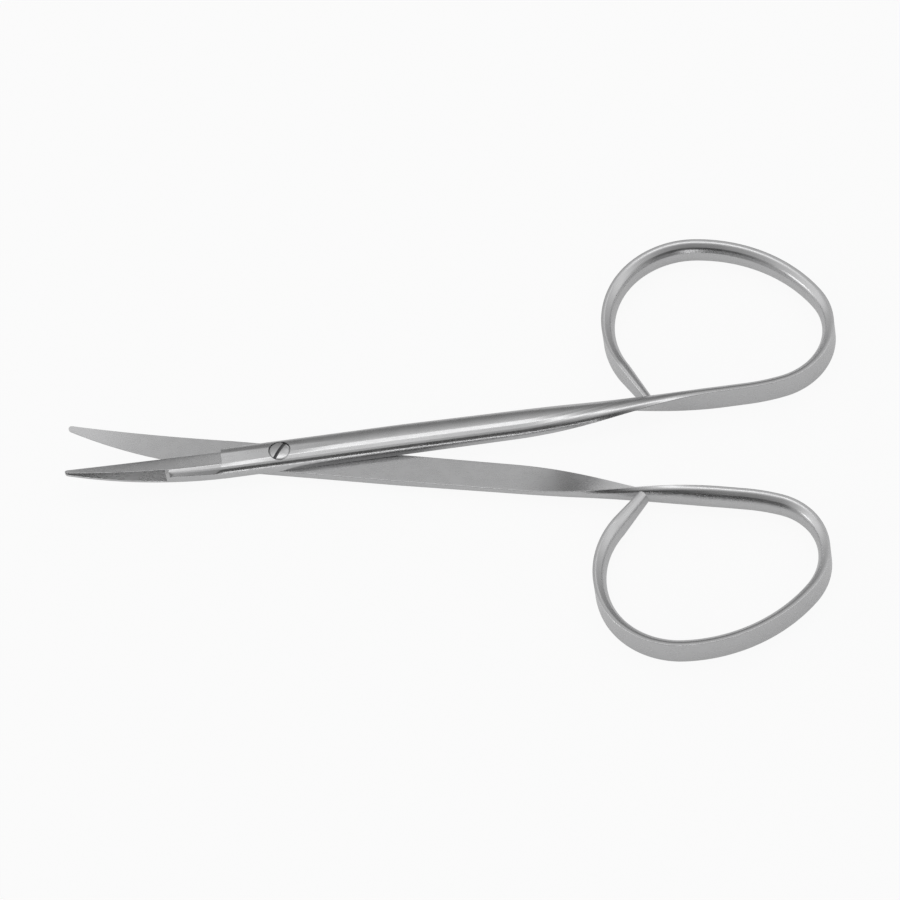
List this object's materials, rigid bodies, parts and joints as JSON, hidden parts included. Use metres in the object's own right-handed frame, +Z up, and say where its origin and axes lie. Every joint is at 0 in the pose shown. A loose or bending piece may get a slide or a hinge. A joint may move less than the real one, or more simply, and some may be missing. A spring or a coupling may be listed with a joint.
{
  "type": "crown scissors",
  "caption": "Small curved surgical scissors with ribbon finger rings, two forged halves crossing at a slotted pivot screw, lying open.",
  "frame": {"origin": "middle of the opened scissors, at the level of the surface they lie on", "axes": "+X from the blade tips to the finger rings, +Y to the front half's ring, +Z up, the way the blades curve"},
  "size_m": [0.1152, 0.0738, 0.0064],
  "materials": {
    "satin_steel": "satin stainless steel, fine grain along the strip",
    "screw_steel": "turned stainless steel, dressed flush"
  },
  "bodies": {
    "back": {"back_half": "satin_steel", "pivot_screw": "screw_steel"},
    "front": {"front_half": "satin_steel"}
  },
  "joints": [
    {"name": "pivot_hinge", "type": "hinge", "parent": "back", "child": "front", "pos_m": [-0.02553, 0, 0.00237], "axis": [0, 0, 1], "range_deg": [-14.66, 45]}
  ]
}
